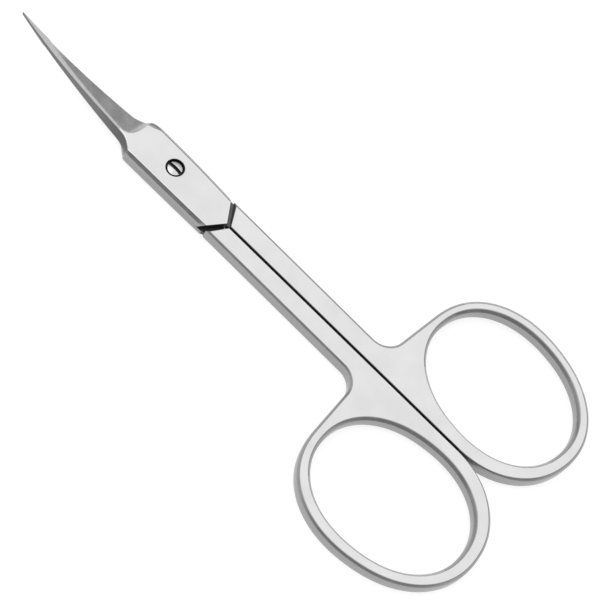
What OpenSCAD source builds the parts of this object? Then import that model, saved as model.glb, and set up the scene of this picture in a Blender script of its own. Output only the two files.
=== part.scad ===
// Cuticle scissors: two forged steel halves that cross in a flat lap joint
// and turn on one slotted screw. The blades point along +Y, the finger rings
// lie along -Y, the front face looks up +Z and the rear face lies on z = 0.
// The origin is on the screw's axis, in the plane of the rear face.

/* [Joint plate] */
// Thickness of the two lapped plates together
plate_t = 3.0; // [2.6:0.1:4.5]
// Height of the plane in which the two plates meet, above the rear face
mate_z = 1.35; // [1.1:0.05:2]
// Running gap between the two plates and between the two blades
lap_gap = 0.06; // [0.03:0.01:0.12]
// Plate's left wall, from the screw's axis
plate_left = 3.5; // [2.8:0.02:4.5]
// Plate's right wall, from the screw's axis
plate_right = 3.15; // [2.8:0.01:4.5]
// How far the left wall draws in towards the V
waist_left = 0.08; // [0:0.01:0.3]
// How far the right wall draws in towards the V
waist_right = 0.42; // [0:0.02:0.5]
// Shoulder where the plate ends and the blade begins, from the screw's axis
shoulder_y = 6.25; // [4:0.25:9]
// Width of the bevel on a plate's spine side
spine_bevel_w = 0.4; // [0.1:0.02:0.6]
// Depth of the bevel on a plate's spine side
spine_bevel_d = 0.55; // [0.2:0.05:0.9]
// Width of the bevel on a plate's cutting side
edge_bevel_w = 0.5; // [0.1:0.05:0.8]
// Depth of the bevel on a plate's cutting side
edge_bevel_d = 0.45; // [0.2:0.05:0.9]

/* [V shoulder] */
// Point of the V at the plate's lower end, from the screw's axis
v_y = 10.65; // [8:0.05:14]
// Slope of each arm of the V
v_angle = 34.5; // [15:0.5:40]
// Width of the V gap, measured square to its arms
v_gap = 0.55; // [0.3:0.05:1]
// Depth of the V groove below the face of the shank
groove_d = 0.4; // [0.1:0.05:0.9]

/* [Shanks] */
// Thickness of the shanks and rings
shank_t = 2.6; // [2:0.1:4]
// Line on which the two shanks meet, from the screw's axis, left is negative
split_x = -0.59; // [-1.5:0.01:0.5]
// Gap between the closed shanks
split_gap = 0.22; // [0.1:0.02:0.5]
// Width of the front half's shank at the V
front_shank_w = 3.42; // [2.8:0.02:4.5]
// Width of the front half's shank at the ring
front_shank_end_w = 3.24; // [2.4:0.02:4.5]
// Width of the rear half's shank at the V
rear_shank_w = 2.9; // [2.8:0.02:4.5]
// Width of the rear half's shank at the ring
rear_shank_end_w = 3.04; // [2.4:0.02:4.5]
// Width of the soft bevel along a shank's outer edges
shank_soft = 0.24; // [0.05:0.01:0.35]
// Width of the fine bevel along the edges that meet
split_soft = 0.08; // [0.03:0.01:0.2]

/* [Finger rings] */
// Centre of the finger holes, from the screw's axis
ring_y = 53.1; // [42:0.1:70]
// Width of a finger hole at its face
hole_w = 19.4; // [17:0.1:26]
// Length of a finger hole at its face
hole_l = 24.6; // [18:0.1:30]
// Lean of the finger holes, their tops away from the split
hole_lean = 6.2; // [0:0.2:15]
// Web between a finger hole and the line where the shanks meet
web_w = 2.0; // [1.4:0.1:4]
// Width of the front half's ring over its outer walls
front_ring_w = 22.55; // [20:0.05:30]
// Length of the front half's ring over its outer walls
front_ring_l = 27.6; // [22:0.1:36]
// Width of the rear half's ring over its outer walls
rear_ring_w = 22.8; // [20:0.1:30]
// Length of the rear half's ring over its outer walls
rear_ring_l = 27.9; // [22:0.1:36]
// Lean of the rings' outer walls, their tops away from the split
ring_lean = 9.5; // [0:0.5:20]
// How far a ring's centre lies below the centre of its hole
ring_drop = 0.2; // [0:0.1:1]
// How far a ring's walls swell out between its two faces
ring_bulge = 0.42; // [0.1:0.02:0.6]
// Radius of the hollow corner between a shank and its ring
crotch_r = 3.0; // [1.5:0.1:4.5]
// How far the ring's top wall rises towards the shank
web_rise = 0.55; // [0.05:0.05:1]
// Squareness of the rings, 2 is a plain ellipse
ring_power = 2.15; // [2:0.05:2.6]

/* [Blades] */
// Tip of the blades, from the screw's axis
tip_y = 30.3; // [20:0.5:40]
// Centre line of the blades, from the screw's axis, left is negative
blade_x = -0.16; // [-0.6:0.02:0.6]
// Width of a blade, its sides carried down to the shoulder
blade_w = 4.74; // [3.5:0.02:5.5]
// Width of a blade just before its point
blade_tip_w = 0.16; // [0.1:0.02:0.6]
// How far the sides of a blade are drawn in halfway along
blade_waist = 0.07; // [0:0.01:0.2]
// How far the tips rise towards the front
tip_lift = 3.3; // [0:0.1:6]
// Share of the rise that comes in the last part of the blade
late_lift = 0.2; // [0:0.05:0.6]
// Thickness of a blade just before its point
blade_tip_t = 0.24; // [0.15:0.01:0.6]
// How fast a blade thins towards its point, 1 is a straight taper
blade_thinning = 1.4; // [1:0.1:2.5]
// Thickness left at the cutting edge
edge_t = 0.1; // [0.05:0.01:0.2]
// Depth of the hollow ground into a blade's inner face
hollow_d = 0.07; // [0.02:0.01:0.15]
// Lean of a blade's spine, as a share of its height
spine_lean = 0.28; // [0.1:0.02:0.5]
// Width of the narrow flat along a blade's ridge, at the root
ridge_w = 0.45; // [0.2:0.05:1]
// Length of the run-out, where a blade's grind meets its plate
runout_l = 3.2; // [1.5:0.1:5]

/* [Screw] */
// Diameter of the screw's head
head_d = 2.34; // [1.8:0.02:3.2]
// Height of the head up to its rim
head_t = 0.72; // [0.4:0.02:1]
// Rise of the domed top above the rim
head_dome = 0.1; // [0:0.01:0.2]
// Gap between the head and the wall of its sink
head_gap = 0.19; // [0.05:0.01:0.3]
// Width of the driver slot
slot_w = 0.42; // [0.3:0.02:0.8]
// Depth of the driver slot
slot_d = 0.45; // [0.2:0.05:0.6]
// Diameter of the smooth journal that the front half turns on
journal_d = 1.8; // [1.4:0.05:2.2]
// Running gap around the journal
journal_gap = 0.03; // [0.01:0.005:0.08]
// Diameter of the threaded end, held in the rear half
thread_d = 1.4; // [1:0.05:1.6]
// Gap around the threaded end
thread_gap = 0.01; // [0:0.005:0.03]
// Play of the front half under the head
end_play = 0.03; // [0.01:0.01:0.06]

/* [Hidden] */

// Number of steps round a half turn of a ring, and round the quarter next to the split
ring_steps = 28;
near_steps = 24;
// Number of steps round the hollow corner at a ring
crotch_steps = 6;
// Heights of the layers of a shank and ring, as shares of half their thickness
layers = [-1, -0.82, -0.55, 0, 0.55, 0.82, 1];
// Heights of the layers of the cutter for a finger hole, which passes both faces
cut_layers = [-1.3, -0.75, -0.4, 0, 0.4, 0.75, 1.3];
// How fast the split side's fine bevel widens into a ring's round wall, 1 is slowest
near_blend = 3;
// Steps along a leaf over the shoulder, and over the rest of the blade
shoulder_steps = 12;
blade_steps = 16;
// Facets of the round parts
round_fn = 48;
// Exponents of the soft walls, from a wide round to a fine edge
round_power = 2.1;
soft_power = 6;
fine_power = 6;
// Length by which a cutter passes the face that it cuts
pass = 1;
// How far ahead of the shoulder the grind of a blade begins
grind_lead = 0.8;
// Lengths of the left and right shoulders, as shares of the run-out
left_share = 0.8;
right_share = 1.35;
right_lead = 0.2;
// Height of a blade's spine facet, as a share of its thickness
spine_share = 0.55;
// How far behind the shoulder the cutting edge and the hollow begin
edge_lag = 0.2;
hollow_lag = 1;
hollow_run = 2;
edge_share = 0.6;
// How much wider than at the root the ridge is along the blade, and at its point
ridge_grow = 0.3;
point_grow = 1.8;
// Least width of a blade's ground facet
least_facet = 0.02;
// Length of the blunted point, and the share of the section that is left at its end
point_l = 0.3;
point_share = 0.4;
// Length of plate and of blade on which stations lie closer together
near_l = 1.2;
after_l = 0.4;
// How far the floor of the V groove lies inside the walls, and runs into plate and shank
bridge_in = 0.15;
bridge_l = 0.8;

plate_len = v_y + shoulder_y;
shank_mid_z = plate_t / 2;
front_leaf_t = plate_t - mate_z - lap_gap / 2;
rear_leaf_t = mate_z - lap_gap / 2;
v_slope = tan(v_angle);
v_drop = v_gap / cos(v_angle);
half_split = split_gap / 2;
// Sink for the screw's head
head_top_z = plate_t - head_dome;
head_seat_z = head_top_z - head_t;
sink_r = head_d / 2 + head_gap;
sink_z = head_seat_z - end_play;
journal_r = journal_d / 2;
rear_mate_z = mate_z - lap_gap / 2;
thread_r = thread_d / 2;
// The threaded end stops this far short of the rear face
thread_short = 0.03;
// How far the dome runs into the head below it
dome_root = 0.01;

function clamp(v) = min(1, max(0, v));
function ease(v) = let (c = clamp(v)) c * c * (3 - 2 * c);
function mix(a, b, k) = a + (b - a) * k;
function power(v, n) = sign(v) * pow(abs(v), n);

// Share of the way from the shoulder to the tip
function along(y) = clamp((y - shoulder_y) / (tip_y - shoulder_y));
// Rise of the mating surface above the joint's plane
function lift(y) =
    let (t = along(y))
    tip_lift * ((1 - late_lift) * pow(t, 2) + late_lift * pow(t, 4));
// Half the width of a blade
function blade_half(y) =
    let (t = along(y))
    mix(blade_w, blade_tip_w, t) / 2 - blade_waist * sin(180 * t);
// Share of the way from the shoulder down to the V
function down(y) = clamp((shoulder_y - y) / plate_len);
// Left wall: straight on the plate, a sharp shoulder, then a hollow curve into the blade
function left_wall(y) = y < shoulder_y
    ? -plate_left + waist_left * pow(down(y), 2)
    : let (root = blade_x - blade_w / 2, k = 1 - clamp((y - shoulder_y) / (runout_l * left_share)))
      blade_x - blade_half(y) - (plate_left + root) * k * k;
// Right wall: a slanted shoulder that eases out of the plate into the blade
function right_wall(y) =
    let (k = ease((y - shoulder_y + runout_l * right_lead) / (runout_l * right_share)))
    mix(plate_right - waist_right * pow(down(y), 2), blade_x + blade_half(y), k);

// Thickness of a leaf, whose plate is t thick
function leaf_t(y, t) = mix(blade_tip_t, t, pow(1 - along(y), blade_thinning));
// Y of the V line at a distance from the split, and how much of the V a station still has
function v_line(across, drop) = -v_y - drop + v_slope * abs(across);
function v_share(y) = clamp(-y / v_y);
// One cross-section of a leaf as points [across, y, height]. Across runs from the
// split towards the leaf's own shank; height runs from its mating face to its
// outer face. back and front are its two walls. Towards the plate's lower end
// each station bends into the V, whose point lies on the split.
function leaf_section(y, t, back, front) =
    let (
        root = ease((y - shoulder_y + grind_lead) / runout_l),
        thick = leaf_t(y, t),
        sink = hollow_d * ease((y - shoulder_y - hollow_lag) / hollow_run) * (1 - pow(along(y), 4)),
        spine = mix(spine_bevel_w, spine_lean * thick, root),
        spine_top = thick - mix(spine_bevel_d, spine_share * thick, root),
        edge_k = ease((y - shoulder_y - edge_lag) / (runout_l * edge_share)),
        edge_top = mix(thick - edge_bevel_d, edge_t, edge_k),
        ridge = back + spine + ridge_w * (1 + ridge_grow * along(y) + point_grow * pow(along(y), 4)),
        crest = mix(front - edge_bevel_w, min(ridge, front - least_facet), root),
        v = v_share(y),
        low_mid = mix((back + front) / 2, 0, v),
        high_mid = mix((back + spine + crest) / 2, 0, v),
        flat = [[back, 0], [back, spine_top], [back + spine, thick], [high_mid, thick],
                [crest, thick], [front, edge_top], [front, 0], [low_mid, sink]]
    )
    [for (p = flat) [p.x, y + v * v_slope * abs(p.x), p.y]];

// Stations along a leaf, closer together over the shoulder
leaf_ys = concat(
    [-v_y, -v_y / 2, 0, shoulder_y - near_l],
    [for (i = [0 : shoulder_steps])
        mix(shoulder_y - grind_lead, shoulder_y + runout_l + after_l, i / shoulder_steps)],
    [for (i = [1 : blade_steps])
        mix(shoulder_y + runout_l + after_l, tip_y - point_l, i / blade_steps)],
    [tip_y]);

// Closed skin through rings of points that all have the same count.
// caps lists the flat faces that close a ring, as places in the ring.
module skin(rings, caps) {
    n = len(rings[0]);
    last_ring = (len(rings) - 1) * n;
    sides = [for (j = [0 : len(rings) - 2], i = [0 : n - 1])
        let (a = j * n + i, b = j * n + (i + 1) % n)
        each [[a, a + n, b], [b, a + n, b + n]]];
    far = [for (cap = caps) [for (i = [len(cap) - 1 : -1 : 0]) last_ring + cap[i]]];
    polyhedron(points = [for (ring = rings) each ring], faces = concat(sides, caps, far));
}

// Blade and plate of one half, in that half's own frame
module leaf(t, up) {
    rings = [for (y = leaf_ys)
        let (
            back = up > 0 ? left_wall(y) - split_x : split_x - right_wall(y),
            front = up > 0 ? right_wall(y) - split_x : split_x - left_wall(y),
            point = y < tip_y ? 1 : point_share,
            section = leaf_section(y, t, back, front),
            mid = (back + front) / 2
        )
        [for (p = section) [mid + (p.x - mid) * point, p.y, lap_gap / 2 + p.z * point + up * lift(y)]]];
    // A section closes in two flat faces, one for each arm of the V
    skin(rings, [[0, 1, 2, 3, 7], [3, 4, 5, 6, 7]]);
}

// Point of an oval of width w and length l that leans by lean, where its outer wall
// faces the direction a. The oval's centre is the origin.
function oval(a, w, l, lean) =
    let (
        q = ring_power / (2 * ring_power - 2),
        t = atan2(power(l * sin(a + lean), q), power(w * cos(a + lean), q)),
        x = w / 2 * power(cos(t), 2 / ring_power),
        y = l / 2 * power(sin(t), 2 / ring_power)
    )
    [x * cos(lean) + y * sin(lean), y * cos(lean) - x * sin(lean)];
// Distance from an oval's centre to its side
function oval_side(w, l, lean) = oval(0, w, l, lean).x;
// The same oval moved to a ring's place, its near side on the split
function ring_at(a, w, l) =
    oval(a, w, l, ring_lean) + [half_split + oval_side(w, l, ring_lean), -ring_y - ring_drop];

// Outer side of a shank and its ring, from the V down to the step before the lowest
// point of the ring, as points [across, y, softness, roundness]
function outer_side(top_w, end_w, ring_w, ring_l) =
    let (
        corner_x = end_w + crotch_r,
        corner_y = ring_at(90, ring_w, ring_l).y + web_rise + crotch_r,
        top_y = v_line(top_w, v_drop),
        wall = [[top_w, top_y, shank_soft, soft_power],
                [mix(top_w, end_w, 0.5), mix(top_y, corner_y, 0.5), shank_soft, soft_power]],
        corner = [for (i = [0 : crotch_steps])
            let (a = 180 + 90 * i / crotch_steps, k = i / crotch_steps)
            [corner_x + crotch_r * cos(a), corner_y + crotch_r * sin(a),
             mix(shank_soft, ring_bulge, k), mix(soft_power, round_power, k)]],
        far = [for (i = [0 : ring_steps - 1])
            let (p = ring_at(90 - 180 * i / ring_steps, ring_w, ring_l))
            [p.x, p.y, ring_bulge, round_power]]
    )
    concat(wall, corner, far);
// The side along the split, at the same heights as the outer side
function split_side(outer, ring_w, ring_l) =
    let (
        near = [for (i = [0 : near_steps])
            let (p = ring_at(-90 - 90 * i / near_steps, ring_w, ring_l)) [p.y, p.x]],
        leave_y = near[near_steps][0],
        low_y = near[0][0]
    )
    [for (i = [0 : len(outer) - 1])
        let (
            y = i == 0 ? v_line(half_split, v_drop) : outer[i].y,
            k = clamp(near_blend * (leave_y - y) / (leave_y - low_y)),
            x = y > leave_y ? half_split : lookup(y, near)
        )
        [x, y, mix(split_soft, ring_bulge, k), mix(fine_power, round_power, k)]];
// The whole outline: down the split, round the ring's lowest point and back up
function shank_outline(top_w, end_w, ring_w, ring_l) =
    let (
        outer = outer_side(top_w, end_w, ring_w, ring_l),
        n = len(outer),
        low = ring_at(-90, ring_w, ring_l)
    )
    concat(split_side(outer, ring_w, ring_l), [[low.x, low.y, ring_bulge, round_power]],
           [for (i = [n - 1 : -1 : 0]) outer[i]]);

// Unit normal of a closed outline at point i, pointing out of it
function outward(pts, i) =
    let (
        n = len(pts),
        a = pts[(i + n - 1) % n],
        b = pts[(i + 1) % n],
        d = [b.x - a.x, b.y - a.y]
    )
    [d.y, -d.x] / norm(d);

// Shank and ring with soft walls: each layer is the outline drawn in by its softness
module shank_and_ring(top_w, end_w, ring_w, ring_l) {
    pts = shank_outline(top_w, end_w, ring_w, ring_l);
    rings = [for (h = layers)
        [for (i = [0 : len(pts) - 1])
            let (p = pts[i], o = outward(pts, i), inset = p[2] * pow(abs(h), p[3]))
            [p.x - o.x * inset, p.y - o.y * inset, h * shank_t / 2]]];
    // Each face is a ladder of flat strips from the split side to the outer side
    m = (len(pts) - 1) / 2;
    strips = [for (i = [0 : m - 2]) [i, i + 1, 2 * m - 1 - i, 2 * m - i]];
    skin(rings, concat(strips, [[m - 1, m, m + 1]]));
}

// Cutter for a finger hole, narrowest halfway between the two faces
module finger_hole() {
    centre = [web_w + oval_side(hole_w, hole_l, hole_lean), -ring_y];
    rings = [for (h = cut_layers)
        let (swell = 2 * ring_bulge * (h * h - 1))
        [for (i = [0 : 2 * ring_steps - 1])
            let (p = centre + oval(180 * i / ring_steps, hole_w + swell, hole_l + swell, hole_lean))
            [p.x, p.y, h * shank_t / 2]]];
    skin(rings, [[for (i = [0 : 2 * ring_steps - 1]) i]]);
}

// Floor of the V groove on the arm where a plate runs on into its own shank
module groove_floor(out_w) {
    inner = half_split + split_soft;
    outer = out_w - bridge_in;
    polygon([
        [inner, v_line(inner, v_drop + bridge_l)],
        [outer, v_line(outer, v_drop + bridge_l)],
        [outer, v_line(outer, -bridge_l)],
        [inner, v_line(inner, -bridge_l)]
    ]);
}

// One half in its own frame: across from the split towards its own shank,
// height from the mating plane towards its own outer face.
// up is 1 where the tips rise towards that face, and -1 where they rise away from it.
module half(t, up, plate_w, top_w, end_w, ring_w, ring_l) {
    mid = up * (shank_mid_z - mate_z);
    floor_z = mid + shank_t / 2 - groove_d;
    under = lap_gap / 2 + bridge_in;
    union() {
        leaf(t, up);
        translate([0, 0, under])
            linear_extrude(floor_z - under) groove_floor(min(plate_w, top_w));
        translate([0, 0, mid])
            difference() {
                shank_and_ring(top_w, end_w, ring_w, ring_l);
                finger_hole();
            }
    }
}

module front_half() color("silver") {
    difference() {
        translate([split_x, 0, mate_z])
            half(front_leaf_t, 1, plate_right - waist_right - split_x,
                 front_shank_w, front_shank_end_w, front_ring_w, front_ring_l);
        cylinder(h = plate_t + pass, r = journal_r + journal_gap, $fn = round_fn);
        translate([0, 0, sink_z])
            cylinder(h = plate_t, r = sink_r, $fn = round_fn);
    }
}

module rear_half() color("gainsboro") {
    difference() {
        translate([split_x, 0, mate_z])
            rotate([0, 180, 0])
                half(rear_leaf_t, -1, plate_left - waist_left + split_x,
                     rear_shank_w, rear_shank_end_w, rear_ring_w, rear_ring_l);
        translate([0, 0, -pass])
            cylinder(h = plate_t + pass, r = thread_r + thread_gap, $fn = round_fn);
    }
}

// Domed and slotted head, smooth journal that stands on the rear plate, threaded end
module pivot_screw() color("dimgray") {
    dome_r = head_dome > 0 ? (pow(head_d / 2, 2) + pow(head_dome, 2)) / (2 * head_dome) : 0;
    difference() {
        rotate_extrude($fn = round_fn) {
            translate([0, thread_short]) square([thread_r, rear_mate_z - thread_short]);
            translate([0, rear_mate_z]) square([journal_r, head_seat_z - rear_mate_z]);
            translate([0, head_seat_z]) square([head_d / 2, head_t]);
            intersection() {
                translate([0, head_top_z - dome_root]) square([head_d / 2, head_dome + dome_root]);
                translate([0, plate_t - dome_r]) circle(r = dome_r, $fn = 4 * round_fn);
            }
        }
        translate([-slot_w / 2, -head_d, plate_t - slot_d])
            cube([slot_w, 2 * head_d, slot_d + pass]);
    }
}

front_half();
rear_half();
pivot_screw();
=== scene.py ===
# %% [markdown]
# # Cuticle scissors in polished, satin and ground steel
#
# The pair has three real pieces: a front half, a rear half and the screw on which
# they turn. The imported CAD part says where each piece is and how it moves. Here each
# piece is made again as a fine surface, because polished steel shows every facet of a
# coarse mesh in its reflections. All the shapes are worked out in millimetres and are
# scaled to metres when they are put into their meshes.

# %% Load the frame
import math

import bpy
import numpy as np
from mathutils import Matrix, Vector
from mathutils.geometry import tessellate_polygon


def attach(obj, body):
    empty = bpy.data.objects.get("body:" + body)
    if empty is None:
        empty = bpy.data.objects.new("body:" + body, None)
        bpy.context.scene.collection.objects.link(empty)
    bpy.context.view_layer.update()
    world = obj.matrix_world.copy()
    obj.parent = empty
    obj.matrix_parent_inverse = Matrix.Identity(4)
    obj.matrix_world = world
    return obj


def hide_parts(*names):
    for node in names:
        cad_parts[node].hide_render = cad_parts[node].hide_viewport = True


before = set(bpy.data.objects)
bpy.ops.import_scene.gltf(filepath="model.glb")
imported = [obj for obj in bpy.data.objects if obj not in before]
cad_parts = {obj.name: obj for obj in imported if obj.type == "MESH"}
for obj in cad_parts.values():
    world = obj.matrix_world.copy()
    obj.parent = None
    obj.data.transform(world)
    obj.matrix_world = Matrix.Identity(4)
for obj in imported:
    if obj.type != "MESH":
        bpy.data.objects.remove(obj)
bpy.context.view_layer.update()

MM = 0.001
scene = bpy.context.scene
scene.view_settings.view_transform = "Standard"

# %% [markdown]
# ## The camera
#
# The view is that of a long lens: the scissors lie flat, the camera looks down on
# them from the left and a little from the ring end, and it is rolled so that the tips
# point to the top left. A camera is placed by its own three axes: its right, its up
# and the way back from what it sees.

# %% Camera
TURN = math.radians(27.8218)      # how far the camera stands to the left of the +Z axis
TILT = math.radians(6.6245)       # how far it stands towards the rings
ROLL = math.radians(-45.7459)     # how far it is rolled about its own axis
DISTANCE = 349.8456               # from the screw's axis to the camera's plane, mm
FOCAL_PIXELS = 2520.1904          # focal length in pixels of a 600 pixel frame
OFFSET_RIGHT = -17.9376           # where the screw's axis lies from the camera's axis, mm
OFFSET_UP = 17.0131
FRAME_PIXELS = 600
SENSOR = 36.0

back = np.array([-math.sin(TURN) * math.cos(TILT), -math.sin(TILT),
                 math.cos(TURN) * math.cos(TILT)])
level_up = np.array([0.0, 1.0, 0.0]) - back[1] * back
level_up /= np.linalg.norm(level_up)
level_right = np.cross(level_up, back)
cam_right = math.cos(ROLL) * level_right + math.sin(ROLL) * level_up
cam_up = -math.sin(ROLL) * level_right + math.cos(ROLL) * level_up
cam_place = (back * DISTANCE - cam_right * OFFSET_RIGHT - cam_up * OFFSET_UP) * MM

camera_data = bpy.data.cameras.new("photo_camera")
camera_data.sensor_fit = "HORIZONTAL"
camera_data.sensor_width = SENSOR
camera_data.lens = FOCAL_PIXELS / FRAME_PIXELS * SENSOR
camera_data.clip_start = 0.01
camera = bpy.data.objects.new("photo_camera", camera_data)
turn = Matrix([cam_right, cam_up, back]).transposed().to_4x4()
camera.matrix_world = Matrix.Translation(Vector(cam_place)) @ turn
scene.collection.objects.link(camera)
scene.camera = camera
print("camera at", [round(float(v), 4) for v in cam_place], "lens", round(camera_data.lens, 1))

# %% [markdown]
# ## The main sizes
#
# The large sizes are those of the CAD part. Each half is drawn in a frame of its own:
# across runs from the split line towards the half's own shank, y runs towards the
# tips, and height runs from the plane where the two plates meet towards the half's
# own outer face. The rear half is the same drawing turned half a turn about y.
# All lengths are in millimetres.

# %% Sizes
PLATE_T, MATE_Z, LAP_GAP = 3.0, 1.35, 0.06          # both plates, where they meet, their gap
PLATE_LEFT, PLATE_RIGHT = 3.5, 3.15                 # from the screw's axis to the walls
WAIST_LEFT, WAIST_RIGHT = 0.08, 0.42                # how far the walls come in at the V
SHOULDER_Y, TIP_Y, V_Y = 6.25, 30.3, 10.65          # the V lies this far below the screw
V_ANGLE, V_GAP = math.radians(34.5), 0.55
V_SLOPE, V_DROP = math.tan(V_ANGLE), V_GAP / math.cos(V_ANGLE)
SPLIT_X, HALF_SPLIT = -0.59, 0.11                   # the line where the shanks meet, half its gap
BLADE_X, BLADE_W, BLADE_TIP_W, BLADE_WAIST = -0.16, 4.74, 0.16, 0.07
TIP_LIFT, LATE_LIFT, BLADE_TIP_T, THINNING = 3.3, 0.2, 0.24, 1.4
RUNOUT_L, EDGE_T, HOLLOW_D = 3.2, 0.1, 0.07         # shoulder to blade, cutting edge, hollow
SHANK_T = 2.6
HALVES = {
    "front": dict(up=1, t=PLATE_T - MATE_Z - LAP_GAP / 2, top_w=3.42, end_w=3.24,
                  ring_w=22.55, ring_l=27.6, bevel_w=0.34, bevel_d=0.22),
    "rear": dict(up=-1, t=MATE_Z - LAP_GAP / 2, top_w=2.9, end_w=3.04,
                 ring_w=22.8, ring_l=27.9, bevel_w=0.27, bevel_d=0.36),
}
RING_Y, HOLE_W, HOLE_L, HOLE_LEAN, WEB_W = 53.1, 19.4, 24.6, math.radians(6.2), 2.0
RING_LEAN, RING_DROP, RING_POWER = math.radians(9.5), 0.2, 2.15
CROTCH_R, WEB_RISE, RING_BULGE = 3.0, 0.55, 0.42
SPLIT_BEVEL_W, SPLIT_BEVEL_D = 0.11, 0.15
RING_BEVEL_W, RING_BEVEL_D = 0.36, 0.42
HOLE_BEVEL_W, HOLE_BEVEL_D = 0.44, 0.56
WORN_BEVEL_W, WORN_BEVEL_D = 0.47, 0.33             # a ring's bevel where it is worn flatter,
WORN_RIGHT, WORN_UP = 1.0, 0.25                     # which is on walls that face this way
CORNER_STEPS = 6                                    # steps in the curve of a softened corner
print("from the tips to the middle of the rings:", TIP_Y + RING_Y, "mm")


# %% [markdown]
# ## Helpers for curves and skins
#
# A real edge is never perfectly sharp: it catches a thin line of light. So every
# outline here is a polygon whose corners are replaced by small curves. The flat
# stretches between them need no points of their own, because the normals are weighted
# by face area later, and so the big flats stay flat to the eye.

# %% Curve helpers
def ease(v):
    """Smooth step: 3v^2 - 2v^3 of v held between 0 and 1."""
    v = np.clip(v, 0, 1)
    return v * v * (3 - 2 * v)


def mix(a, b, k):
    """Straight blend from a to b by the share k."""
    return a + (b - a) * k


def softened(corners, radius, steps):
    """Polygons with softened corners, as one array of points for each polygon.

    corners is (polygons, corners, 2) and radius (polygons, corners), in mm. A corner C
    with a radius r above 0 becomes a quadratic curve (1-k)^2 A + 2k(1-k) C + k^2 B,
    where A and B lie r before and r behind it on its two sides, and never further than
    0.45 of a side. A corner whose radius is nowhere above 0 stays one point.
    """
    before, behind = np.roll(corners, 1, axis=1) - corners, np.roll(corners, -1, axis=1) - corners
    len_a = np.maximum(np.linalg.norm(before, axis=2), 1e-6)
    len_b = np.maximum(np.linalg.norm(behind, axis=2), 1e-6)
    a = corners + before / len_a[..., None] * np.minimum(radius, 0.45 * len_a)[..., None]
    b = corners + behind / len_b[..., None] * np.minimum(radius, 0.45 * len_b)[..., None]
    k = np.linspace(0, 1, steps + 1)[None, None, :, None]
    curve = ((1 - k) ** 2 * a[:, :, None] + 2 * k * (1 - k) * corners[:, :, None]
             + k ** 2 * b[:, :, None])
    round_here = radius.max(axis=0) > 0
    return np.concatenate([curve[:, c] if round_here[c] else corners[:, c:c + 1]
                           for c in range(corners.shape[1])], axis=1)


def skin(rings, closed=True, start=0):
    """Quads between neighbouring rings of a (rings, points, 3) grid, as vertex numbers."""
    m, n = rings.shape[:2]
    a = start + np.arange(m - 1)[:, None] * n + np.arange(n)[None, :]
    b = start + np.arange(m - 1)[:, None] * n + (np.arange(n)[None, :] + 1) % n
    quads = np.stack([a, b, b + n, a + n], axis=-1)
    return (quads if closed else quads[:, :-1]).reshape(-1, 4).tolist()


# %% Mesh helper
def make_mesh(name, points, faces, finishes, materials):
    """Puts points in mm, faces and each face's finish number into a new object.

    The faces of a closed skin are turned outwards."""
    mesh = bpy.data.meshes.new(name)
    mesh.from_pydata(np.asarray(points).tolist(), [], faces)
    mesh.polygons.foreach_set("material_index", np.asarray(finishes, np.int32))
    for m in materials:
        mesh.materials.append(m)
    piece = bpy.data.objects.new(name, mesh)
    scene.collection.objects.link(piece)
    bpy.context.view_layer.objects.active = piece
    bpy.ops.object.select_all(action="DESELECT")
    piece.select_set(True)
    bpy.ops.object.mode_set(mode="EDIT")
    bpy.ops.mesh.select_all(action="SELECT")
    bpy.ops.mesh.normals_make_consistent(inside=False)
    bpy.ops.object.mode_set(mode="OBJECT")
    print(name, len(mesh.vertices), "points", len(mesh.polygons), "faces")
    return piece


def carve(piece, other, operation):
    """Joins other to piece, or cuts it out, for good, and removes other."""
    modifier = piece.modifiers.new(operation.lower(), "BOOLEAN")
    modifier.operation, modifier.object, modifier.solver = operation, other, "EXACT"
    modifier.material_mode = "INDEX"
    bpy.context.view_layer.objects.active = piece
    bpy.ops.object.modifier_apply(modifier=modifier.name)
    bpy.data.objects.remove(other)
    return piece


def finish_piece(piece, body, node, crisp=28):
    """Scales a piece from mm to metres, shades it and lets it ride on its body.

    Edges that turn by more than crisp degrees stay sharp. The other normals are
    weighted by face area, so that flats look flat right up to their softened edges."""
    piece.data.transform(Matrix.Scale(MM, 4))
    piece.data.shade_smooth()
    piece.data.set_sharp_from_angle(angle=math.radians(crisp))
    weighted = piece.modifiers.new("weighted_normals", "WEIGHTED_NORMAL")
    weighted.keep_sharp = True
    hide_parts(node)
    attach(piece, body)
    print(piece.name, "rides on", body, "with", len(piece.data.polygons), "faces")


# %% [markdown]
# ## The finishes
#
# The real steel shows several finishes. The flat faces are polished until they mirror
# the light above them, with only faint lines left from the polishing wheel. The side
# walls have a satin grain, and their grey is set low as a painted shade. The blade's
# facets are ground across the blade, so their fine lines run across it, and the steep
# facet along the spine is painted darkest of them, a painted shade that is deeper at the
# root. The narrow gaps between the halves, the holes round the screw and the screw's
# slot are painted nearly black as painted shade. All of them share one effect, which
# is a node group: fine lines and a soft cloudiness.

# %% Shared effect: fine lines and cloudiness
def add_group(name, inputs, outputs):
    """An empty shader group with float inputs {name: default} and float outputs."""
    group = bpy.data.node_groups.new(name, "ShaderNodeTree")
    group.interface.new_socket("Place", in_out="INPUT", socket_type="NodeSocketVector")
    for key, default in inputs.items():
        socket = group.interface.new_socket(key, in_out="INPUT", socket_type="NodeSocketFloat")
        socket.default_value = default
    for key in outputs:
        group.interface.new_socket(key, in_out="OUTPUT", socket_type="NodeSocketFloat")
    return group, group.nodes.new("NodeGroupInput"), group.nodes.new("NodeGroupOutput")


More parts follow.
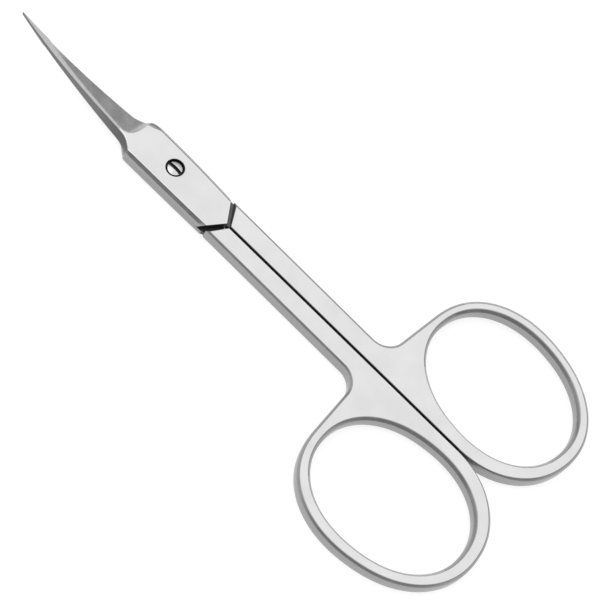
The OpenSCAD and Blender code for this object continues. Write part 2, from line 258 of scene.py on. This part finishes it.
def fine_lines_group():
    """Lines: noise on a place stretched by its own amount along each axis, 0 to 1.

    Clouds: slow noise in the same place, 0 to 1."""
    group, gin, gout = add_group(
        "fine_lines", {"Along X": 1.0, "Along Y": 1.0, "Along Z": 1.0, "Cloud size": 0.3},
        ["Lines", "Clouds"])
    links = group.links
    stretch = group.nodes.new("ShaderNodeCombineXYZ")
    for axis in "XYZ":
        links.new(gin.outputs["Along " + axis], stretch.inputs[axis])
    scaled = group.nodes.new("ShaderNodeVectorMath")
    scaled.operation = "MULTIPLY"
    links.new(gin.outputs["Place"], scaled.inputs[0])
    links.new(stretch.outputs[0], scaled.inputs[1])
    lines = group.nodes.new("ShaderNodeTexNoise")
    lines.inputs["Scale"].default_value = 1.0
    lines.inputs["Detail"].default_value = 3.0
    lines.inputs["Roughness"].default_value = 0.6
    links.new(scaled.outputs[0], lines.inputs["Vector"])
    links.new(lines.outputs["Fac"], gout.inputs["Lines"])
    clouds = group.nodes.new("ShaderNodeTexNoise")
    clouds.inputs["Detail"].default_value = 2.0
    links.new(gin.outputs["Place"], clouds.inputs["Vector"])
    links.new(gin.outputs["Cloud size"], clouds.inputs["Scale"])
    links.new(clouds.outputs["Fac"], gout.inputs["Clouds"])
    return group


FINE_LINES = fine_lines_group()
print("shared effect:", FINE_LINES.name)


# %% Steel materials
NOISE_LOW, NOISE_HIGH = 0.3, 0.7        # nearly all of the noise lies between these
HAZE = 0.035                            # share by which the clouds move the grey
ROOT_START, ROOT_END = 7.0, 15.0        # stretch of y over which the root's shade fades, mm


def from_noise(tree, noise, low, high):
    """Output that runs from low to high as the noise runs over its usual range."""
    node = tree.nodes.new("ShaderNodeMapRange")
    node.inputs["From Min"].default_value = NOISE_LOW
    node.inputs["From Max"].default_value = NOISE_HIGH
    node.inputs["To Min"].default_value, node.inputs["To Max"].default_value = low, high
    tree.links.new(noise, node.inputs["Value"])
    return node.outputs[0]


def smooth_range(tree, value, start, end, low, high):
    """Node that eases from low to high as the value runs from start to end."""
    node = tree.nodes.new("ShaderNodeMapRange")
    node.interpolation_type = "SMOOTHSTEP"
    node.inputs["From Min"].default_value, node.inputs["From Max"].default_value = start, end
    node.inputs["To Min"].default_value, node.inputs["To Max"].default_value = low, high
    tree.links.new(value, node.inputs["Value"])
    return node


def product(tree, a, b):
    """Output that is a times b."""
    node = tree.nodes.new("ShaderNodeMath")
    node.operation = "MULTIPLY"
    tree.links.new(a, node.inputs[0])
    tree.links.new(b, node.inputs[1])
    return node.outputs[0]


def steel(name, tone, spread, rough, rough_spread, stretch, cloud, bump, bump_mm, root_shade=1.0):
    """Steel whose grey, roughness and relief follow the fine lines and the clouds.

    tone and rough are the middle values, spread and rough_spread how far the noise
    moves them. stretch is how many lines there are to a mm along x, y and z. A
    root_shade below 1 is a painted shade: how much darker the steel is painted at the
    root of the blade, against the rest of it."""
    material = bpy.data.materials.new(name)
    material.use_nodes = True
    tree = material.node_tree
    nodes, links = tree.nodes, tree.links
    shader = nodes["Principled BSDF"]
    shader.inputs["Metallic"].default_value = 1.0
    place = nodes.new("ShaderNodeTexCoord")
    in_mm = nodes.new("ShaderNodeMapping")
    in_mm.inputs["Scale"].default_value = (1000, 1000, 1000)
    links.new(place.outputs["Object"], in_mm.inputs["Vector"])
    effect = nodes.new("ShaderNodeGroup")
    effect.node_tree = FINE_LINES
    links.new(in_mm.outputs[0], effect.inputs["Place"])
    for axis, value in zip("XYZ", stretch):
        effect.inputs["Along " + axis].default_value = value
    effect.inputs["Cloud size"].default_value = cloud
    lines, clouds = effect.outputs["Lines"], effect.outputs["Clouds"]
    parts = nodes.new("ShaderNodeSeparateXYZ")
    links.new(in_mm.outputs[0], parts.inputs[0])
    # painted shade: the grey is darker towards the blade's root
    shade = smooth_range(tree, parts.outputs["Y"], ROOT_START, ROOT_END, root_shade, 1)
    shaded = product(tree, from_noise(tree, lines, tone - spread, tone + spread), shade.outputs[0])
    hazed = product(tree, shaded, from_noise(tree, clouds, 1 - HAZE, 1 + HAZE))
    colour = nodes.new("ShaderNodeCombineColor")
    for channel in ("Red", "Green", "Blue"):
        links.new(hazed, colour.inputs[channel])
    links.new(colour.outputs[0], shader.inputs["Base Color"])
    roughness = from_noise(tree, clouds, rough - rough_spread, rough + rough_spread)
    links.new(roughness, shader.inputs["Roughness"])
    relief = nodes.new("ShaderNodeBump")
    relief.inputs["Strength"].default_value = bump
    relief.inputs["Distance"].default_value = bump_mm * MM
    links.new(lines, relief.inputs["Height"])
    links.new(relief.outputs[0], shader.inputs["Normal"])
    print("finish", name)
    return material


POLISHED, SATIN_SHADED, GROUND, GAP_SHADE, SPINE_SHADED = 0, 1, 2, 3, 4
steels = [
    steel("polished_steel", 0.64, 0.012, 0.16, 0.03, (22, 0.9, 9), 0.25, 0.25, 0.0006),
    # painted shade: the satin walls are given a low grey, darker than the polished faces of the
    # same steel
    steel("satin_painted_shade_steel", 0.325, 0.025, 0.26, 0.04, (14, 14, 14), 0.6, 0.5, 0.002),
    steel("ground_steel", 0.45, 0.075, 0.38, 0.06, (1.0, 16, 3), 0.5, 0.8, 0.004),
    # painted shade: near-black steel for the gaps, the groove, the holes and hidden faces by the V
    steel("painted_gap_shade_steel", 0.10, 0.02, 0.45, 0.05, (6, 6, 6), 0.8, 0.5, 0.003),
    # painted shade: the spine's facet is given the darkest grey, deeper at the root
    steel("spine_painted_shade_steel", 0.20, 0.025, 0.34, 0.05, (3, 20, 3), 0.5, 0.5, 0.002, root_shade=0.62),
]
screw_steels = [
    steel("screw_steel", 0.58, 0.05, 0.2, 0.05, (4, 4, 4), 0.8, 0.6, 0.004),
    # painted shade: near-black steel for the screw's slot and the rim round its head
    steel("screw_painted_shade_steel", 0.06, 0.02, 0.45, 0.05, (3, 20, 3), 0.8, 0.5, 0.002),
]


# %% [markdown]
# ## Plate and blade
#
# Plate and blade are one forging, so they are one skin. It is a loft: a polygon of
# eight corners that changes its shape along y. Below the shoulder it is a plate with
# bevelled edges. Above it the grinding has left a spine facet, a narrow ridge and a
# wide facet that runs down to the cutting edge. At its lower end every section bends
# into the V.

# %% Walls and heights of the blade
def along(y):
    """Share of the way from the shoulder to the tip."""
    return np.clip((y - SHOULDER_Y) / (TIP_Y - SHOULDER_Y), 0, 1)


def lift(y):
    """Rise of the mating face: a square law with a late fourth-power part."""
    return TIP_LIFT * ((1 - LATE_LIFT) * along(y) ** 2 + LATE_LIFT * along(y) ** 4)


def blade_half(y):
    """Half the blade's width: a straight taper less a sine-shaped waist."""
    return mix(BLADE_W, BLADE_TIP_W, along(y)) / 2 - BLADE_WAIST * np.sin(np.pi * along(y))


def left_wall(y):
    """Straight wall of the plate, then a parabola from the shoulder into the blade."""
    down = np.clip((SHOULDER_Y - y) / (V_Y + SHOULDER_Y), 0, 1)
    k = 1 - np.clip((y - SHOULDER_Y) / (RUNOUT_L * 0.8), 0, 1)
    blade = BLADE_X - blade_half(y) - (PLATE_LEFT + BLADE_X - BLADE_W / 2) * k * k
    return np.where(y < SHOULDER_Y, -PLATE_LEFT + WAIST_LEFT * down ** 2, blade)


def right_wall(y):
    """The plate's wall, eased over the shoulder into the blade's cutting side."""
    down = np.clip((SHOULDER_Y - y) / (V_Y + SHOULDER_Y), 0, 1)
    k = ease((y - SHOULDER_Y + RUNOUT_L * 0.2) / (RUNOUT_L * 1.35))
    return mix(PLATE_RIGHT - WAIST_RIGHT * down ** 2, BLADE_X + blade_half(y), k)


print("blade is", round(float(2 * blade_half(np.array(12.0))), 2), "mm wide at y = 12")


# %% Sections of plate and blade
SPINE_BEVEL_W, SPINE_BEVEL_D = 0.40, 0.55
EDGE_BEVEL_W, EDGE_BEVEL_D = 0.5, 0.45
SPINE_LEAN, SPINE_DEPTH = 0.40, 0.88    # the blade's spine facet, as shares of its thickness
GRIND_START, GRIND_ROUND = 7.1, 2.2     # where the wheel's rounded end has cut in
PLATE_SLANT, SLANT_L = 0.8, 1.2         # how far a plate's end leans back under its face
END_ROUND, POINT_L = 0.06, 0.3          # softened ends at the V and at the tip
RIDGE_END, EDGE_START = 9.2, 7.6        # from here up the ridge and the edge are ground
ROUND = CORNER_STEPS + 1                # points of a softened corner
CORNER_POINTS = [ROUND, ROUND, ROUND, 1, ROUND, ROUND, ROUND, 1]
SHADE_Y = -9.6                          # from here down the inner face is painted dark, as shade


def leaf_corners(y, t, spine, front):
    """The eight corners of each section, (sections, 8, 2), as across and height.

    They run up the spine wall, over its bevel, along the ridge or the plate's face,
    over the cutting side's bevel, down to the edge and back along the hollow."""
    root = ease((y - SHOULDER_Y + 0.8) / RUNOUT_L)
    thick = mix(BLADE_TIP_T, t, (1 - along(y)) ** THINNING)
    sink = HOLLOW_D * ease((y - SHOULDER_Y - 1) / 2) * (1 - along(y) ** 4)
    lean = mix(SPINE_BEVEL_W, SPINE_LEAN * thick, root)
    spine_top = thick - mix(SPINE_BEVEL_D, SPINE_DEPTH * thick, root)
    ground = np.sqrt(1 - np.clip((GRIND_START + GRIND_ROUND - y) / GRIND_ROUND, 0, 1) ** 2)
    edge_top = mix(thick - EDGE_BEVEL_D, EDGE_T, ease((y - GRIND_START + 0.3) / 1.3))
    ridge = spine + 0.28 * thick + 0.45 * (1 + 0.3 * along(y) + 1.8 * along(y) ** 4)
    crest = mix(front - EDGE_BEVEL_W, np.minimum(ridge, front - 0.02), ground)
    v = np.clip(-y / V_Y, 0, 1)
    low_mid = mix((spine + front) / 2, 0, v)
    high_mid = mix((spine + lean + crest) / 2, 0, v)
    valley = 0.012 * root * (1 - along(y) ** 2)
    zero = np.zeros_like(y)
    return np.stack([
        np.stack([spine, zero], -1), np.stack([spine, spine_top], -1),
        np.stack([spine + lean, thick], -1), np.stack([high_mid, thick - valley], -1),
        np.stack([crest, thick], -1), np.stack([front, edge_top], -1),
        np.stack([front, zero], -1), np.stack([low_mid, sink], -1)], axis=1)


def leaf_skin(half):
    """Rings of points of one plate and blade in its half's own frame, and their finishes.

    The station y runs from the V to the tip. At both ends the last few rings are drawn
    in on a quarter circle, so the ends are softened as well."""
    up, t = half["up"], half["t"]
    quarter = np.radians(np.array([0, 30, 60, 90]))
    y = np.concatenate([
        -V_Y + END_ROUND * (1 - np.cos(quarter)), np.linspace(-9.5, 4.6, 12),
        np.arange(4.8, 10.6, 0.05), np.linspace(10.7, TIP_Y - POINT_L, 90),
        TIP_Y - POINT_L + POINT_L * np.sin(quarter[1:])])
    drawn_in = np.zeros_like(y)
    drawn_in[:4] = END_ROUND * (1 - np.sin(quarter))
    point = np.ones_like(y)
    point[-3:] = 0.25 + 0.75 * np.cos(quarter[1:])
    lo, hi = (left_wall(y), right_wall(y)) if up > 0 else (right_wall(y), left_wall(y))
    spine, front = up * (lo - SPLIT_X), up * (hi - SPLIT_X)
    corners = leaf_corners(y, t, spine, front)
    soft = ease((y - 5.0) / 1.4) * (1 - ease((y - 8.4) / 2.2))
    thin = 1 - 0.6 * along(y)
    radius = np.stack([
        0.04 * thin, 0.05 * thin + 0.1 * soft, 0.05 * thin + 0.08 * soft, 0 * y,
        0.08 * thin + 0.45 * soft, 0.06 * thin + 0.1 * soft, 0.04 * thin, 0 * y], axis=1)
    loops = softened(corners, radius, CORNER_STEPS)
    middle = (corners.min(axis=1) + corners.max(axis=1))[:, None] / 2
    size = (corners.max(axis=1) - corners.min(axis=1))[:, None] / 2
    shrink = (1 - drawn_in[:, None, None] / size) * point[:, None, None]
    loops = middle + (loops - middle) * shrink
    across, height = loops[..., 0], loops[..., 1]
    v = np.clip(-y / V_Y, 0, 1)[:, None]
    under = np.clip(1 - height / t, 0, 1) * np.clip((SLANT_L - y[:, None] - V_Y) / SLANT_L, 0, 1)
    slant = PLATE_SLANT * under * np.clip(-across, 0, 1)
    rings = np.stack([across, y[:, None] + v * V_SLOPE * np.abs(across) + slant,
                      LAP_GAP / 2 + height + up * lift(y)[:, None]], axis=-1)
    sides = np.repeat(np.arange(8), CORNER_POINTS)
    plate = np.array([SATIN_SHADED, SATIN_SHADED, POLISHED, POLISHED, SATIN_SHADED, SATIN_SHADED, GROUND, GROUND])[sides]
    blade = np.array([SPINE_SHADED, SPINE_SHADED, GROUND, GROUND, GROUND, GROUND, GROUND, GROUND])[sides]
    starts = np.array([SHOULDER_Y, SHOULDER_Y, RIDGE_END, RIDGE_END, GRIND_START,
                       EDGE_START, EDGE_START, EDGE_START])[sides]
    finish = np.where(y[:-1, None] < starts, plate, blade)
    # painted shade on the inner face by the V, seen through the gap
    finish = np.where((y[:-1, None] < SHADE_Y) & np.isin(sides, (6, 7)), GAP_SHADE, finish)
    return rings, finish


def leaf(name, half):
    """Plate and blade as one closed skin."""
    rings, finish = leaf_skin(half)
    n = rings.shape[1]
    faces = skin(rings)
    last = (rings.shape[0] - 1) * n
    high, low = sum(CORNER_POINTS[:3]), n - 1       # the V's corner on the face and beneath
    faces += [[low] + list(range(0, high + 1)), list(range(high, n)), list(range(last, last + n))]
    # painted shade: the plate's two end faces at the V are painted near black
    finishes = finish.reshape(-1).tolist() + [GAP_SHADE, GAP_SHADE, SATIN_SHADED]
    return make_mesh(name, rings.reshape(-1, 3), faces, finishes, steels)


# %% [markdown]
# ## Shank and finger ring
#
# Shank and ring are flat on both faces, so the faces are plain polygons with the
# finger hole left out of them. All the shape is in the walls: a bevel that is
# softened into the face, then a wall that swells a little. Each wall is a profile
# carried round an outline, moved in or out square to the outline.

# %% Outline of shank and ring
SPLIT_POINTS, OVAL_POINTS, WEB_POINTS, CROTCH_POINTS, WALL_POINTS = 30, 300, 30, 30, 12
BLEND_POINTS = 60                       # over these the split's bevel becomes the ring's
RING_POINTS = SPLIT_POINTS + OVAL_POINTS
SHANK_SIDE = 200                        # from this point on a bevel meets the shank's outer one
HOLE_POINTS = 320
BEVEL_ROWS = 10                         # rows of faces that a softened bevel has in a wall


def oval(angle, w, l, lean):
    """Points of a leaning oval, each where the oval's wall faces the angle.

    The oval is |x/a|^p + |y/b|^p = 1, where a and b are half of w and l. Its wall faces
    the angle where tan t = (b sin / a cos)^(p / (2p - 2)), and there x is a cos t and
    y is b sin t, each to the power 2/p."""
    def power(v, n):
        return np.sign(v) * np.abs(v) ** n
    q = RING_POWER / (2 * RING_POWER - 2)
    t = np.arctan2(power(l * np.sin(angle + lean), q), power(w * np.cos(angle + lean), q))
    x, y = w / 2 * power(np.cos(t), 2 / RING_POWER), l / 2 * power(np.sin(t), 2 / RING_POWER)
    return np.stack([x * math.cos(lean) + y * math.sin(lean),
                     y * math.cos(lean) - x * math.sin(lean)], -1)


def oval_side(w, l, lean):
    """Distance from an oval's centre to its side."""
    return float(oval(np.zeros(1), w, l, lean)[0, 0])


def worn_side(points, outwards, half):
    """How far each wall of a closed outline faces the side where the bevels are worn:
    the square of the wall's normal times that direction, 0 to 1."""
    normal = mitred(points) * outwards
    return np.clip(half["up"] * normal[:, 0] * WORN_RIGHT + normal[:, 1] * WORN_UP, 0, 1) ** 2


def outline(half):
    """Closed outline of shank and ring, its bevel's width and its bevel's depth.

    Down the split, round the ring, along its top, through the hollow corner and up
    the outer wall to the V."""
    top_w, end_w, w, l = half["top_w"], half["end_w"], half["ring_w"], half["ring_l"]
    centre = [HALF_SPLIT + oval_side(w, l, RING_LEAN), -RING_Y - RING_DROP]
    top_y = -V_Y - V_DROP + V_SLOPE * top_w
    split_y = -V_Y - V_DROP + V_SLOPE * HALF_SPLIT
    ring_top = float(oval(np.full(1, math.pi / 2), w, l, RING_LEAN)[0, 1]) + centre[1]
    corner_at = np.array([end_w + CROTCH_R, ring_top + WEB_RISE + CROTCH_R])
    # The web's top touches the ring and the hollow corner: its slope is found by halving
    low, high = 0.0, math.radians(30)
    for _ in range(30):
        slope = (low + high) / 2
        touch = oval(np.full(1, math.pi / 2 - slope), w, l, RING_LEAN)[0] + centre
        clear = (corner_at - touch) @ [math.sin(slope), math.cos(slope)] - CROTCH_R
        low, high = (slope, high) if clear > 0 else (low, slope)
    ring = oval(np.linspace(math.pi, 2.5 * math.pi - slope, OVAL_POINTS), w, l, RING_LEAN) + centre
    down_y = np.linspace(split_y, ring[0, 1] + 0.4, SPLIT_POINTS)
    down = np.stack([np.full(SPLIT_POINTS, HALF_SPLIT), down_y], -1)
    a = np.linspace(1.5 * math.pi - slope, math.pi, CROTCH_POINTS)
    corner = corner_at + CROTCH_R * np.stack([np.cos(a), np.sin(a)], -1)
    k = np.linspace(0, 1, WEB_POINTS + 2)[1:-1, None]
    top = mix(ring[-1], corner[0], k)
    wall_y = np.linspace(corner_at[1] + 0.5, top_y, WALL_POINTS)
    wall = np.stack([np.interp(wall_y, [corner_at[1], top_y], [end_w, top_w]), wall_y], -1)
    points = np.concatenate([down, ring, top, corner, wall])
    # k is 0 where a bevel is that of the shank and 1 where it is that of the ring
    k = np.concatenate([np.zeros(SPLIT_POINTS), ease(np.linspace(0, 1, BLEND_POINTS)),
                        np.ones(OVAL_POINTS + WEB_POINTS - BLEND_POINTS),
                        ease(np.linspace(1, 0, CROTCH_POINTS)), np.zeros(WALL_POINTS)])
    worn = worn_side(points, 1, half)
    ring_wide = mix(RING_BEVEL_W, WORN_BEVEL_W, worn)
    ring_deep = mix(RING_BEVEL_D, WORN_BEVEL_D, worn)
    shank_side = np.arange(len(k)) > SHANK_SIDE
    wide = mix(np.where(shank_side, half["bevel_w"], SPLIT_BEVEL_W), ring_wide, k)
    deep = mix(np.where(shank_side, half["bevel_d"], SPLIT_BEVEL_D), ring_deep, k)
    return points, wide, deep


def mitred(points):
    """For each point of a closed outline the step that moves it 1 mm square to both its
    sides, pointing outwards: the sum of the two normals over one plus their product."""
    side = np.roll(points, -1, axis=0) - points
    normal = np.stack([side[:, 1], -side[:, 0]], -1) / np.linalg.norm(side, axis=1)[:, None]
    before = np.roll(normal, 1, axis=0)
    return (normal + before) / (1 + (normal * before).sum(axis=1))[:, None]


def wall_profile(wide, deep):
    """Profile of a wall for each point of an outline, (points, rows, 2), as inset and
    height: face, bevel, swelling wall, bevel, face, with its corners softened."""
    h = SHANK_T / 2
    one, zero = np.ones_like(wide), np.zeros_like(wide)
    lip, foot = 0.22 * wide, 0.25 * deep
    corners = np.stack([
        np.stack([wide + 1, h * one], -1), np.stack([wide, h * one], -1),
        np.stack([0.12 * wide, h - deep], -1), np.stack([zero, zero], -1),
        np.stack([0.12 * wide, deep - h], -1), np.stack([wide, -h * one], -1),
        np.stack([wide + 1, -h * one], -1)], axis=1)
    radius = np.stack([zero, lip, foot, 0.35 * one, foot, lip, zero], axis=1)
    return softened(corners, radius, CORNER_STEPS)[:, 1:-1]


def wall_rings(points, wide, deep, outwards):
    """The wall as (rows, points, 3): each row is the outline moved by the row's inset."""
    profile = wall_profile(wide, deep)
    step = mitred(points) * outwards
    plan = points[:, None] - step[:, None] * profile[..., :1]
    return np.concatenate([plan, profile[..., 1:]], axis=-1).transpose(1, 0, 2)


def shank_and_ring(name, half):
    """Two walls and two faces, closed into one skin. The finger hole is narrowest
    halfway between the faces."""
    points, wide, deep = outline(half)
    outer = wall_rings(points, wide, deep, 1)
    a = np.radians(np.linspace(0, 360, HOLE_POINTS, endpoint=False))
    waist = oval(a, HOLE_W - 2 * RING_BULGE, HOLE_L - 2 * RING_BULGE, HOLE_LEAN)
    hole = waist + [WEB_W + oval_side(HOLE_W, HOLE_L, HOLE_LEAN), -RING_Y]
    hole_wide, hole_deep = np.full(HOLE_POINTS, HOLE_BEVEL_W), np.full(HOLE_POINTS, HOLE_BEVEL_D)
    inner = wall_rings(hole, hole_wide, hole_deep, -1)
    start = outer.shape[0] * outer.shape[1]
    cloud = np.concatenate([outer.reshape(-1, 3), inner.reshape(-1, 3)])
    faces = skin(outer) + skin(inner, start=start)
    rows = np.arange(outer.shape[0] - 1)[:, None]
    bevels = (rows < BEVEL_ROWS) | (rows >= len(rows) - BEVEL_ROWS)
    worn, hole_worn = worn_side(points, 1, half), worn_side(hole, -1, half)
    on_ring = np.arange(len(worn)) < RING_POINTS
    finishes = np.where(bevels & on_ring & (worn > 0.5), GROUND, SATIN_SHADED)
    finishes[BEVEL_ROWS:, :SPLIT_POINTS] = GAP_SHADE     # painted shade in the gap between the halves
    # painted shade: the shank's end face by the V is painted near black
    finishes[3:, -1] = GAP_SHADE
    hole_finishes = np.where(bevels & (hole_worn > 0.3), GROUND, SATIN_SHADED)
    finishes = finishes.reshape(-1).tolist() + hole_finishes.reshape(-1).tolist()
    loops = [[Vector((x, y, 0)) for x, y, _ in ring.tolist()] for ring in (outer[0], inner[0])]
    triangles = np.array(tessellate_polygon(loops))
    n, k = outer.shape[1], inner.shape[1]
    top = np.concatenate([np.arange(n), start + np.arange(k)])
    bottom = np.concatenate([start - n + np.arange(n), len(cloud) - k + np.arange(k)])
    faces += top[triangles].tolist() + bottom[triangles[:, ::-1]].tolist()
    finishes += [POLISHED] * (2 * len(triangles))
    cloud[:, 2] += half["up"] * (PLATE_T / 2 - MATE_Z)
    return make_mesh(name, cloud, faces, finishes, steels)


# %% [markdown]
# ## One half from its parts
#
# Between the plate's V and the shank lies a groove. On the side of the half's own
# shank its floor is solid steel, which carries the plate on into the shank.

# %% Groove floor and cutters
GROOVE_D, GROOVE_RUN = 0.4, 0.8         # depth below the shank, run into plate and shank
GROOVE_INSET, GROOVE_LAP = 0.15, 0.04   # in from the outer wall, over the line of the split


def block(name, plan, low, high, materials, finish):
    """Upright prism over a polygon given as points across and y."""
    n = len(plan)
    cloud = [(x, y, z) for z in (low, high) for x, y in plan]
    faces = [[i, (i + 1) % n, n + (i + 1) % n, n + i] for i in range(n)]
    faces += [list(range(n)), list(range(2 * n - 1, n - 1, -1))]
    return make_mesh(name, cloud, faces, [finish] * len(faces), materials)


def turned(name, profile, materials, finish, around=128):
    """Solid of revolution about z from (radius, height) points, closed by flat ends.

    finish is one number, or one for each stretch between two points of the profile."""
    profile = np.array(profile, float)
    a = np.linspace(0, 2 * np.pi, around, endpoint=False)
    rings = np.stack([profile[:, :1] * np.cos(a), profile[:, :1] * np.sin(a),
                      np.repeat(profile[:, 1:], around, axis=1)], axis=-1)
    last = (len(profile) - 1) * around
    faces = skin(rings) + [list(range(around)), list(range(last, last + around))]
    finishes = np.repeat(np.broadcast_to(finish, len(profile) - 1), around).tolist()
    finishes += [finishes[0], finishes[-1]]
    return make_mesh(name, rings.reshape(-1, 3), faces, finishes, materials)


def v_line(across, drop):
    """The y, at a distance across, of a line that runs along the V, drop below it."""
    return -V_Y - drop + V_SLOPE * across


def build_half(name, half):
    """Leaf, groove floor and shank joined into one solid, in the object's own frame."""
    up = half["up"]
    piece = leaf(name, half)
    plate_w = PLATE_RIGHT - WAIST_RIGHT - SPLIT_X if up > 0 else PLATE_LEFT - WAIST_LEFT + SPLIT_X
    inner, outer = HALF_SPLIT - GROOVE_LAP, min(plate_w, half["top_w"]) - GROOVE_INSET
    plan = [(x, v_line(x, drop)) for x, drop in (
        (inner, V_DROP + GROOVE_RUN), (outer, V_DROP + GROOVE_RUN),
        (outer, -GROOVE_RUN), (inner, -GROOVE_RUN))]
    floor_z = up * (PLATE_T / 2 - MATE_Z) + SHANK_T / 2 - GROOVE_D
    # painted shade: the groove's floor is painted near black
    groove = block(name + "_groove", plan, LAP_GAP / 2 + 0.02, floor_z, steels, GAP_SHADE)
    carve(piece, groove, "UNION")
    carve(piece, shank_and_ring(name + "_shank", half), "UNION")
    if up < 0:
        piece.data.transform(Matrix.Rotation(math.pi, 4, "Y"))
    piece.data.transform(Matrix.Translation((SPLIT_X, 0, MATE_Z)))
    return piece


# %% Front half
HEAD_R, SINK_R, SINK_Z, BORE_R, THREAD_HOLE_R = 1.17, 1.36, 2.15, 0.93, 0.71
CHAMFER = 0.06                          # at the mouths of the holes and the screw's end

front = build_half("front_half_steel", HALVES["front"])
# painted shade: the sink round the screw's head is painted near black
sink = turned("sink", [(BORE_R, 0.5), (BORE_R, SINK_Z), (SINK_R, SINK_Z + 0.001),
                       (SINK_R, PLATE_T - 0.05), (SINK_R + CHAMFER, PLATE_T + 0.01),
                       (SINK_R + CHAMFER, PLATE_T + 1)], steels, GAP_SHADE)
carve(front, sink, "DIFFERENCE")
finish_piece(front, "front_body", "front_half")

# %% Rear half
rear = build_half("rear_half_steel", HALVES["rear"])
# painted shade: the screw's hole in the rear half is painted near black
bore = turned("bore", [(THREAD_HOLE_R + CHAMFER, -1), (THREAD_HOLE_R + CHAMFER, -0.01),
                       (THREAD_HOLE_R, 0.05), (THREAD_HOLE_R, 2)], steels, GAP_SHADE)
carve(rear, bore, "DIFFERENCE")
finish_piece(rear, "rear_body", "rear_half")

# %% [markdown]
# ## The screw
#
# The screw is turned: a low domed head with a small chamfer, the journal on which
# the front half swings, and the threaded end that is tightened into the rear half.
# Its slot is cut afterwards, as on the real one.

# %% Screw
HEAD_SEAT_Z, JOURNAL_R, THREAD_R = 2.18, 0.9, 0.7
JOURNAL_END, SCREW_END = 1.32, 0.03     # heights of the journal's step and the screw's end
HEAD_DOME, SLOT_W, SLOT_D = 0.26, 0.54, 0.5
BRIGHT, SCREW_SHADE = 0, 1                     # the screw's bright steel, and a painted shade for its slot, the rim of its head and its shaft
dome = [(HEAD_R * k, PLATE_T - HEAD_DOME * k * k) for k in np.linspace(0.02, 0.90, 16)]
rim = [(HEAD_R * 0.96, PLATE_T - HEAD_DOME - 0.04), (HEAD_R, PLATE_T - HEAD_DOME - 0.14)]
shaft = [(HEAD_R, HEAD_SEAT_Z), (JOURNAL_R, HEAD_SEAT_Z), (JOURNAL_R, JOURNAL_END),
         (THREAD_R, JOURNAL_END), (THREAD_R, SCREW_END + CHAMFER),
         (THREAD_R - CHAMFER, SCREW_END), (0.02, SCREW_END)]
# painted shade: the rim round the head and the shaft are painted near black
screw_finish = [BRIGHT] * (len(dome) - 1) + [SCREW_SHADE] * (len(rim) + len(shaft) - 1) + [BRIGHT]
screw = turned("pivot_screw_steel", dome + rim + shaft, screw_steels, screw_finish)
slot_plan = [(-SLOT_W / 2, -2), (SLOT_W / 2, -2), (SLOT_W / 2, 2), (-SLOT_W / 2, 2)]
# painted shade: the slot's walls and floor are painted near black
slot_cutter = block("slot_cutter", slot_plan, PLATE_T - SLOT_D, PLATE_T + 1, screw_steels, SCREW_SHADE)
carve(screw, slot_cutter, "DIFFERENCE")
finish_piece(screw, "rear_body", "pivot_screw")

# %% [markdown]
# ## Floor and light
#
# Steel shows its surroundings more than its own colour. The faces turned up mirror a
# large soft light overhead and look bright. The bevels mirror the dim walls of the
# room and look dark, which draws every edge. The floor is pale paper with a glow that
# only the camera and the steel's reflections see, so it lights nothing.

# %% Floor
FLOOR_HALF, FLOOR_Z = 1.5, -0.0001      # in metres
PAPER_GREY, PAPER_GLOW = 0.36, 0.73

floor_mesh = bpy.data.meshes.new("floor")
floor_corners = [(x * FLOOR_HALF, y * FLOOR_HALF, FLOOR_Z)
                 for x, y in ((-1, -1), (1, -1), (1, 1), (-1, 1))]
floor_mesh.from_pydata(floor_corners, [], [[0, 1, 2, 3]])
floor = bpy.data.objects.new("floor", floor_mesh)
scene.collection.objects.link(floor)
paper = bpy.data.materials.new("pale_paper")
paper.use_nodes = True
paper_shader = paper.node_tree.nodes["Principled BSDF"]
paper_shader.inputs["Base Color"].default_value = (PAPER_GREY, PAPER_GREY, PAPER_GREY, 1)
paper_shader.inputs["Roughness"].default_value = 0.9
paper_shader.inputs["Specular IOR Level"].default_value = 0.0
paper_shader.inputs["Emission Color"].default_value = (1, 1, 1, 1)
pn, pl = paper.node_tree.nodes, paper.node_tree.links
ray = pn.new("ShaderNodeLightPath")
seen = pn.new("ShaderNodeMath")
seen.operation = "MAXIMUM"
pl.new(ray.outputs["Is Camera Ray"], seen.inputs[0])
pl.new(ray.outputs["Is Glossy Ray"], seen.inputs[1])
glow = pn.new("ShaderNodeMath")
glow.operation = "MULTIPLY"
glow.inputs[1].default_value = PAPER_GLOW
pl.new(seen.outputs[0], glow.inputs[0])
pl.new(glow.outputs[0], paper_shader.inputs["Emission Strength"])
floor_mesh.materials.append(paper)

# %% Light
WALL_TOP, SKY_START, SKY = 0.35, 0.72, 1.2      # heights of a direction, and the sky's strength
FAR_START, FAR_END = 0.3, 0.8                   # how much a direction points past the tips
NEAR_WALL, FAR_WALL = 0.40, 0.85                # strength of the walls

world = bpy.data.worlds.new("studio")
scene.world = world
world.use_nodes = True
wn, wl = world.node_tree.nodes, world.node_tree.links
direction = wn.new("ShaderNodeTexCoord")
parts = wn.new("ShaderNodeSeparateXYZ")
wl.new(direction.outputs["Generated"], parts.inputs[0])
sky = smooth_range(world.node_tree, parts.outputs["Z"], WALL_TOP, SKY_START, 0, SKY)
walls = smooth_range(world.node_tree, parts.outputs["Y"], FAR_START, FAR_END, NEAR_WALL, FAR_WALL)
wl.new(walls.outputs[0], sky.inputs["To Min"])
wl.new(sky.outputs[0], wn["Background"].inputs["Strength"])
wn["Background"].inputs["Color"].default_value = (1, 1, 1, 1)

sun_data = bpy.data.lights.new("key", "SUN")
sun_data.energy = 0.4
sun_data.angle = math.radians(60)
key = bpy.data.objects.new("key", sun_data)
key.rotation_euler = Vector((-0.35, 0.45, 0.85)).to_track_quat("Z", "Y").to_euler()
scene.collection.objects.link(key)

print("floor and light are in place")
